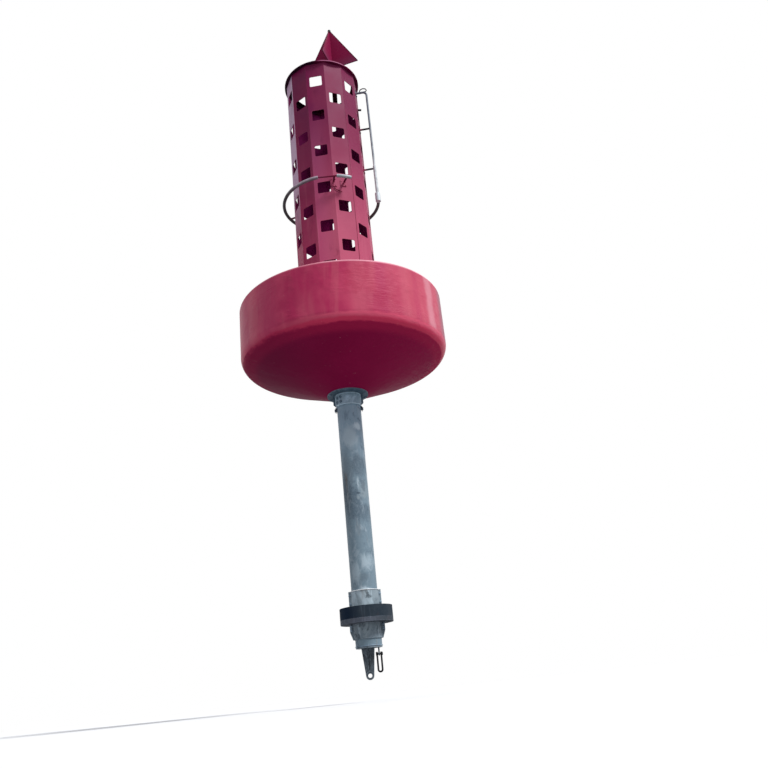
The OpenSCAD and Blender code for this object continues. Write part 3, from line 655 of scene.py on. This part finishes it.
# Pale zinc of the strap's edge bead: partly the bead's own zinc and partly a painted highlight along the
# strap's edges.
edge_zinc = zinc(
    "edge_zinc", (0.34, 0.50, 0.60), (0.50, 0.66, 0.76), stain=(0.16, 0.22, 0.27), rust_share=0.1
)
# Bright zinc of the clamp's lip and the rail's foot: partly a painted highlight and painted light.
bright_zinc = zinc(
    "bright_zinc", (0.50, 0.56, 0.60), (0.66, 0.72, 0.76), stain=(0.22, 0.25, 0.27), rust_share=0.3
)
bracket_paint = paint("bracket_paint", TOWER_RED, HIGH_RED, CHALK, outer=(0.150, 0.010, 0.050))
rail_bracket_paint = paint("rail_bracket_paint", TOWER_RED, HIGH_RED, CHALK, outer=(0.060, 0.055, 0.065))
bar_paint = paint("bar_paint", BAR_RED, BAR_RED, chalk=(0.30, 0.06, 0.11), inner=(BAR_RED, BAR_RED))
NODE_FINISH = {
    "mooring_yoke": yoke_zinc,
    "shackle_lug": yoke_zinc,
    "bottom_flange": flange_zinc,
    "flange_gussets": flange_zinc,
    "core_tube": collar_zinc,
    "collar_strap": collar_zinc,
    "hoop_tube": hoop_zinc(),
    "tower_rim": rim_paint(),
    "hoop_brackets": bracket_paint,
    "rail_brackets": rail_bracket_paint,
    "hoop_bar": bar_paint,
    "tail_tube": tail_zinc(),
    "rail_tube": rail_zinc(),
    # The rail's foot is bright partly as painted light.
    "rail_foot": bright_zinc,
}
for name in ("upper_clamp_front", "upper_clamp_back", "lower_clamp_front", "lower_clamp_back", "end_plate"):
    NODE_FINISH[name] = clamp_zinc

for row in frame["record"]["subparts"]:
    cad = nodes[row["node"]]
    cad.data.materials.clear()
    cad.data.materials.append(NODE_FINISH.get(row["node"], MATERIALS[row["material_slot"]]))


def piece(name, bm, slot, body=BUOY, smooth=True, finish=None):
    """A new piece from a bmesh in the part's frame, with its slot's material or a finish of its own."""
    bmesh.ops.recalc_face_normals(bm, faces=bm.faces)
    mesh = bpy.data.meshes.new(name)
    bm.to_mesh(mesh)
    bm.free()
    for face in mesh.polygons:
        face.use_smooth = smooth
    obj = bpy.data.objects.new(name, mesh)
    bpy.context.scene.collection.objects.link(obj)
    mesh.materials.append(finish or MATERIALS[slot])
    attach(obj, body)
    return obj


def turned_to(direction, at):
    """A matrix that carries +Z to direction and the origin to at."""
    turn = Vector(direction).normalized().to_track_quat("Z", "Y").to_matrix().to_4x4()
    return Matrix.Translation(at) @ turn


def polar(radius, degrees, z):
    """The point at an azimuth counted from -Y towards +X."""
    a = math.radians(degrees)
    return Vector((radius * math.sin(a), -radius * math.cos(a), z))


def join_rings(bm, rings):
    """Faces between neighbouring rings of vertices, with a cap at each end."""
    for low, high in zip(rings, rings[1:]):
        for i in range(len(low)):
            j = (i + 1) % len(low)
            bm.faces.new((low[i], low[j], high[j], high[i]))
    bm.faces.new(rings[0][::-1])
    bm.faces.new(rings[-1])


ROUND_SIDES = 24
THREAD_SIDES = 16
HEXAGON = 6


def add_lathe(bm, profile, sides, matrix):
    """A closed solid of revolution about Z from (radius, height) pairs, put in place by matrix."""
    rings = []
    for radius, height in profile:
        ring = []
        for i in range(sides):
            a = 2 * math.pi * (i + 0.5) / sides
            ring.append(bm.verts.new(matrix @ Vector((radius * math.cos(a), radius * math.sin(a), height))))
        rings.append(ring)
    join_rings(bm, rings)


def add_rod(bm, points, radius, sides=10):
    """A round rod swept along points."""
    rings = []
    normal = None
    for i, point in enumerate(points):
        ahead = points[min(i + 1, len(points) - 1)]
        behind = points[max(i - 1, 0)]
        tangent = (ahead - behind).normalized()
        if normal is None:
            normal = tangent.orthogonal().normalized()
        normal = (normal - tangent * normal.dot(tangent)).normalized()
        side = tangent.cross(normal)
        ring = []
        for k in range(sides):
            a = 2 * math.pi * k / sides
            ring.append(bm.verts.new(point + radius * (math.cos(a) * normal + math.sin(a) * side)))
        rings.append(ring)
    join_rings(bm, rings)


def add_bolt(bm, at, direction, d, stub=0.0):
    """Washer and chamfered hexagon head of a bolt of diameter d, and a thread's end if stub is over 0."""
    matrix = turned_to(direction, at)
    sunk = 0.001
    washer_r = 1.1 * d
    washer_t = 0.16 * d
    head_r = 0.92 * d
    chamfer = 0.12 * d
    top = washer_t + 0.65 * d
    washer = [(washer_r, -sunk), (washer_r, washer_t * 0.7), (1.02 * d, washer_t)]
    head = [(head_r, washer_t * 0.5), (head_r, top - chamfer), (0.78 * d, top)]
    add_lathe(bm, washer, ROUND_SIDES, matrix)
    add_lathe(bm, head, HEXAGON, matrix)
    if stub > 0:
        thread_r = 0.5 * d
        end = top + stub
        thread = [(thread_r, top * 0.5), (thread_r, end - 0.1 * d), (0.4 * d, end)]
        add_lathe(bm, thread, THREAD_SIDES, matrix)


def bolts(name, rows, d, slot, stub=0.0, finish=None):
    """One piece with a bolt at each pair of place and direction."""
    bm = bmesh.new()
    for at, direction in rows:
        add_bolt(bm, at, direction, d, stub)
    return piece(name, bm, slot, smooth=False, finish=finish)


def rods(name, paths, radius, slot, finish=None):
    """One piece with a round rod or weld bead along each path."""
    bm = bmesh.new()
    for points in paths:
        add_rod(bm, points, radius)
    return piece(name, bm, slot, finish=finish)


def circle(radius, z, steps=96):
    """A closed circle about the axis as a list of points."""
    return [polar(radius, 360 * i / steps, z) for i in range(steps + 1)]


def bolt_circle(radius, z, count, direction):
    """Places and directions of bolts spread evenly round the axis."""
    return [(polar(radius, (i + 0.5) * 360 / count, z), direction) for i in range(count)]


DOWN = (0, 0, -1)
UP = (0, 0, 1)

# The tower's facets and the radius of its corners, as in the part's source
FACETS = 12
STEP = 360 / FACETS
TOWER_TURN = 6.0
TOWER_R = 0.435

# Bolts under the bottom flange, and the weld between the flange and the core tube
FLANGE_BOLTS = 8
FLANGE_BOLT_D = 0.016
FLANGE_BOLT_INSET = 0.022
FLANGE_WELD_R = 0.006
FLANGE_WELD_OUT = 0.002
flange_low, flange_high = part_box("bottom_flange")
flange_rows = bolt_circle(flange_high.x - FLANGE_BOLT_INSET, flange_low.z, FLANGE_BOLTS, DOWN)
bolts("flange_bolts", flange_rows, FLANGE_BOLT_D, "weathered_zinc", finish=flange_zinc)
core_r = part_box("core_tube")[1].x
rods("flange_weld", [circle(core_r + FLANGE_WELD_OUT, flange_low.z)], FLANGE_WELD_R, "weathered_zinc")

# Raised edge and bolts of the strap round the core tube
STRAP_EDGE_R = 0.0052
STRAP_BOLT_D = 0.015
STRAP_BOLT_INSET = 0.034
STRAP_BOLT_TURNS = (-53.0, -34.0)
STRAP_HEIGHT_TO_CORNER = 5
CORNER_STEPS = 6
EDGE_PARTS = 4
strap_low, strap_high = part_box("collar_strap")
strap_r = -strap_low.y
strap_corner = (strap_high.z - strap_low.z) / STRAP_HEIGHT_TO_CORNER
edge = []
for centre_x, centre_z, start in (
    (strap_high.x - strap_corner, strap_high.z - strap_corner, 0),
    (strap_low.x + strap_corner, strap_high.z - strap_corner, 90),
    (strap_low.x + strap_corner, strap_low.z + strap_corner, 180),
    (strap_high.x - strap_corner, strap_low.z + strap_corner, 270),
):
    for step in range(CORNER_STEPS + 1):
        a = math.radians(start + 90 / CORNER_STEPS * step)
        edge.append((centre_x + strap_corner * math.cos(a), centre_z + strap_corner * math.sin(a)))
edge.append(edge[0])
outline = []
for (x0, z0), (x1, z1) in zip(edge, edge[1:]):
    for step in range(EDGE_PARTS):
        share = step / EDGE_PARTS
        x = x0 + share * (x1 - x0)
        outline.append(Vector((x, -math.sqrt(strap_r ** 2 - x ** 2), z0 + share * (z1 - z0))))
outline.append(outline[0])
# The bead's pale zinc is partly a painted highlight along the strap's edges.
rods("strap_edge", [outline], STRAP_EDGE_R, "galvanised", edge_zinc)
strap_rows = []
for turn in STRAP_BOLT_TURNS:
    for z in (strap_low.z + STRAP_BOLT_INSET, strap_high.z - STRAP_BOLT_INSET):
        strap_rows.append((polar(strap_r, turn, z), polar(1.0, turn, 0.0)))
bolts("strap_bolts", strap_rows, STRAP_BOLT_D, "weathered_zinc", finish=flange_zinc)

# Washers at the ends of the cross pin
PIN_WASHER_GAP = 0.008
PIN_WASHER = [(0.029, 0.0), (0.029, 0.006), (0.027, 0.008)]
pin_low, pin_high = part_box("tail_pin")
tail_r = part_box("tail_tube")[1].x
bm = bmesh.new()
for side in (-1, 1):
    at = Vector((side * (tail_r + PIN_WASHER_GAP), 0, (pin_low.z + pin_high.z) / 2))
    add_lathe(bm, PIN_WASHER, ROUND_SIDES, turned_to((side, 0, 0), at))
piece("tail_pin_washers", bm, "black_steel")

# Bolts and nuts through the ears of the split clamps
EAR_FACE = 0.016
NUT_STUB = 0.010
for clamp, shares, inset, d in (
    ("upper_clamp", (0.24, 0.76), 0.0095, 0.010),
    ("lower_clamp", (0.63, 0.88), 0.014, 0.012),
):
    low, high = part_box(clamp + "_front")
    ear_x = high.x - inset
    heads = []
    nuts = []
    for side in (-1, 1):
        for share in shares:
            z = low.z + share * (high.z - low.z)
            heads.append((Vector((side * ear_x, -EAR_FACE, z)), (0, -1, 0)))
            nuts.append((Vector((side * ear_x, EAR_FACE, z)), (0, 1, 0)))
    bolts(clamp + "_bolts", heads, d, "weathered_zinc")
    bolts(clamp + "_nuts", nuts, d, "weathered_zinc", NUT_STUB)

# Welds: end plate on the tail tube, and the lip of the upper clamp's band
END_WELD_R = 0.005
END_WELD_OUT = 0.001
CLAMP_BAND_R = 0.1375
CLAMP_LIP_R = 0.0045
CLAMP_LIP_DROP = 0.003
end_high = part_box("end_plate")[1]
rods("end_weld", [circle(end_high.x + END_WELD_OUT, end_high.z)], END_WELD_R, "weathered_zinc")
lip_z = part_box("upper_clamp_front")[1].z - CLAMP_LIP_DROP
# The lip's bright zinc is partly a painted highlight on the clamp's top edge.
rods("clamp_lip", [circle(CLAMP_BAND_R, lip_z)], CLAMP_LIP_R, "galvanised", bright_zinc)

# Bolts of the deck plate and of the tower's foot
DECK_BOLTS = 16
DECK_BOLT_D = 0.020
DECK_BOLT_INSET = 0.04
FOOT_RING_T = 0.012
FOOT_BOLT_D = 0.014
FOOT_BOLT_R = 0.452
FOOT_BOLT_SHIFT = 8.5
deck_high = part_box("deck_plate")[1]
deck_rows = bolt_circle(deck_high.x - DECK_BOLT_INSET, deck_high.z, DECK_BOLTS, UP)
bolts("deck_bolts", deck_rows, DECK_BOLT_D, "galvanised")
foot_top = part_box("tower_foot")[0].z + FOOT_RING_T
foot_rows = []
for facet in range(FACETS):
    for shift in (-FOOT_BOLT_SHIFT, FOOT_BOLT_SHIFT):
        foot_rows.append((polar(FOOT_BOLT_R, TOWER_TURN + (facet + 0.5) * STEP + shift, foot_top), UP))
bolts("foot_bolts", foot_rows, FOOT_BOLT_D, "galvanised")

# Welds at the lifting lugs' feet
LUGS = 4
LUG_IN_R = 0.494
LUG_OUT_R = 0.690
LUG_HALF_T = 0.014
LUG_WELD_R = 0.006
lug_paths = []
for lug in range(LUGS):
    turn = TOWER_TURN + 360 / LUGS * lug
    across = polar(1.0, turn + 90, 0.0)
    for side in (-1, 1):
        offset = across * (side * LUG_HALF_T)
        ends = (polar(LUG_IN_R, turn, deck_high.z), polar(LUG_OUT_R, turn, deck_high.z))
        lug_paths.append([end + offset for end in ends])
rods("lug_welds", lug_paths, LUG_WELD_R, "galvanised")

# Seams where the tower's four bent sheets meet
SEAM_R = 0.004
SEAM_SUNK = 0.001
SEAM_CORNERS = (-2, 1, 4, 7)
RIM_T = 0.014
rim_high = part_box("tower_rim")[1]
seams = []
for corner in SEAM_CORNERS:
    turn = TOWER_TURN + corner * STEP
    seams.append([polar(TOWER_R - SEAM_SUNK, turn, z) for z in (foot_top, rim_high.z - RIM_T)])
rods("tower_seams", seams, SEAM_R, "tower_paint")

# Bolts in the feet of the brackets that lie on facets: the rail's, and that of the hoop's stub
BRACKET_BOLT_D = 0.007
FOOT_T = 0.008
FLAT_BOLT_SHIFT = 0.024
FACET_R = TOWER_R * math.cos(math.radians(STEP / 2))
RAIL_TURN = TOWER_TURN + 2.5 * STEP
STUB_TURN = 21.0
RAIL_ARM_DROP = 0.035
RAIL_FEET_OVER_HOOP = (0.412, 1.005)
hoop_low, hoop_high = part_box("hoop_tube")
hoop_z = (hoop_low.z + hoop_high.z) / 2
rail_arm_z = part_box("rail_tube")[1].z - RAIL_ARM_DROP
bracket_feet = [(RAIL_TURN, hoop_z + over) for over in RAIL_FEET_OVER_HOOP]
bracket_feet += [(RAIL_TURN, rail_arm_z), (STUB_TURN, hoop_z)]
bracket_rows = []
for turn, z in bracket_feet:
    outwards = polar(1.0, turn, 0.0)
    across = polar(1.0, turn + 90, 0.0)
    for u in (-FLAT_BOLT_SHIFT, FLAT_BOLT_SHIFT):
        for v in (-FLAT_BOLT_SHIFT, FLAT_BOLT_SHIFT):
            bracket_rows.append((polar(FACET_R + FOOT_T, turn, z + v) + across * u, outwards))

# The hoop's other brackets are bent over corners of the tower
HOOP_CORNERS = (0, 4, 8)
BENT_BOLT_OUT = 0.021
BENT_BOLT_SHIFT = 0.040
bend = STEP / 2
for corner in HOOP_CORNERS:
    turn = TOWER_TURN + corner * STEP
    edge_point = polar(TOWER_R + FOOT_T / math.cos(math.radians(bend)), turn, hoop_z)
    for side in (-1, 1):
        outwards = polar(1.0, turn + side * bend, 0.0)
        along = polar(1.0, turn + side * bend + 90, 0.0) * side
        for v in (-BENT_BOLT_SHIFT, BENT_BOLT_SHIFT):
            bracket_rows.append((edge_point + along * BENT_BOLT_OUT + Vector((0, 0, v)), outwards))
bolts("bracket_bolts", bracket_rows, BRACKET_BOLT_D, "dark_red_paint", finish=bracket_paint)

# Thin dark red rod on the tower under the hoop's front bracket, a painted shadow of the hoop's bar, from
# radius, azimuth and drop under the hoop
BAR_SHADOW_R = 0.005
BAR_SHADOW_PATH = ((0.441, 6.5, 0.070), (0.441, 8.0, 0.096), (0.432, 17.6, 0.120))
bar_shadow = [polar(radius, turn, hoop_z - drop) for radius, turn, drop in BAR_SHADOW_PATH]
rods("bar_shadow_rod", [bar_shadow], BAR_SHADOW_R, "dark_red_paint", bar_paint)

# Hook at the rail's top, from radius and rise over the rail's arm, and a small clip on the tower beside it
HOOK_R = 0.0065
HOOK_PATH = (
    (0.470, 0.0),
    (0.470, 0.030),
    (0.485, 0.052),
    (0.515, 0.060),
    (0.545, 0.050),
    (0.558, 0.026),
    (0.545, 0.006),
    (0.522, 0.010),
)
hook = [polar(radius, RAIL_TURN, rail_arm_z + rise) for radius, rise in HOOK_PATH]
rods("rail_hook", [hook], HOOK_R, "black_steel")
CLIP_R = 0.013
CLIP_TURN = 93.0
CLIP_DROP = 0.37
CLIP_REACH = (0.428, 0.468)
clip = [polar(radius, CLIP_TURN, rim_high.z - CLIP_DROP) for radius in CLIP_REACH]
rods("tower_clip", [clip], CLIP_R, "black_steel")

# Dark bars along the edges of the topmark's plates, and the knob at its point
TOP_TURN = -19.5
TOP_X = 0.159
TOP_HALF = 0.342
TOP_BAR_R = 0.0048
KNOB_SIDES = 20
KNOB = [(0.008, -0.050), (0.019, -0.036), (0.020, -0.018), (0.018, -0.004), (0.010, 0.002)]
top_low, top_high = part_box("topmark_plate_wide")
tip = Vector((TOP_X, 0.0, top_high.z))
bars = []
for quarter in range(4):
    a = math.radians(TOP_TURN + 90 * quarter)
    base = Vector((TOP_X + TOP_HALF * math.cos(a), TOP_HALF * math.sin(a), top_low.z))
    bars.append([base, tip])
    bars.append([Vector((TOP_X, 0.0, top_low.z)), base])
rods("topmark_edges", bars, TOP_BAR_R, "dark_red_paint")
bm = bmesh.new()
add_lathe(bm, KNOB, KNOB_SIDES, Matrix.Translation(tip))
piece("topmark_knob", bm, "black_steel")

# Split pin through the end of the shackle's pin
SPLIT_PIN_R = 0.0015
SPLIT_PIN_HALF = 0.014
SPLIT_PIN_SIDES = 8
shackle_low, shackle_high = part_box("shackle_pin")
pin_end = Vector((shackle_low.x + SPLIT_PIN_R, 0.0, (shackle_low.z + shackle_high.z) / 2))
reach = Vector((0, 0, SPLIT_PIN_HALF))
bm = bmesh.new()
add_rod(bm, [pin_end - reach, pin_end + reach], SPLIT_PIN_R, SPLIT_PIN_SIDES)
piece("shackle_split_pin", bm, "black_steel", SHACKLE)


def seen_share(tree, rays):
    """A socket that is 1 on the named kinds of ray."""
    path = tree.nodes.new("ShaderNodeLightPath")
    share = path.outputs[rays[0]]
    for ray in rays[1:]:
        node = tree.nodes.new("ShaderNodeMath")
        node.operation = "MAXIMUM"
        tree.links.new(share, node.inputs[0])
        tree.links.new(path.outputs[ray], node.inputs[1])
        share = node.outputs[0]
    return share


def two_faced(tree, rays, hidden, shown, socket):
    """Colour shown on the named kinds of ray and hidden on the others."""
    node = tree.nodes.new("ShaderNodeMix")
    node.data_type = "RGBA"
    tree.links.new(seen_share(tree, rays), node.inputs["Factor"])
    for value, target in zip((hidden, shown), colour_sockets(node.inputs)):
        target.default_value = (*value, 1.0)
    tree.links.new(colour_sockets(node.outputs)[0], socket)


# Floor under the tail's end, white to the eye and darker to the light that it throws on the buoy
FLOOR_Z = -3.52
FLOOR_REACH = 60.0
FLOOR_BOUNCE = (0.26, 0.26, 0.27)
FLOOR_SEEN = (0.86, 0.86, 0.86)
FLOOR_ROUGHNESS = 0.8
floor_mesh = bpy.data.meshes.new("floor")
floor_corners = []
for side_x, side_y in ((-1, -1), (1, -1), (1, 1), (-1, 1)):
    floor_corners.append((side_x * FLOOR_REACH, side_y * FLOOR_REACH, FLOOR_Z))
floor_mesh.from_pydata(floor_corners, [], [(0, 1, 2, 3)])
floor = bpy.data.objects.new("floor", floor_mesh)
bpy.context.scene.collection.objects.link(floor)
floor_material = bpy.data.materials.new("floor")
floor_material.use_nodes = True
tree = floor_material.node_tree
floor_shader = tree.nodes["Principled BSDF"]
floor_rays = ("Is Camera Ray", "Is Transmission Ray")
two_faced(tree, floor_rays, FLOOR_BOUNCE, FLOOR_SEEN, floor_shader.inputs["Base Color"])
floor_shader.inputs["Roughness"].default_value = FLOOR_ROUGHNESS
floor_mesh.materials.append(floor_material)

# Sky light, with a white background for the eye and for reflections
SKY_LIGHT = (0.50, 0.52, 0.56)
WHITE = (1.0, 1.0, 1.0)
world = bpy.data.worlds.new("world")
bpy.context.scene.world = world
world.use_nodes = True
tree = world.node_tree
background = tree.nodes["Background"]
sky_rays = ("Is Camera Ray", "Is Transmission Ray", "Is Glossy Ray")
two_faced(tree, sky_rays, SKY_LIGHT, WHITE, background.inputs["Color"])
background.inputs["Strength"].default_value = 1.0

LAMP_Z = 12


def sun(name, strength, angle, azimuth, elevation):
    """A soft far lamp that shines from an azimuth and elevation in degrees."""
    data = bpy.data.lights.new(name, "SUN")
    data.energy = strength
    data.angle = angle
    lamp = bpy.data.objects.new(name, data)
    rise = math.radians(elevation)
    towards = polar(math.cos(rise), azimuth, math.sin(rise))
    lamp.matrix_world = turned_to(towards, Vector((0, 0, LAMP_Z)))
    bpy.context.scene.collection.objects.link(lamp)


sun("key", strength=2.9, angle=0.25, azimuth=55.0, elevation=47.0)
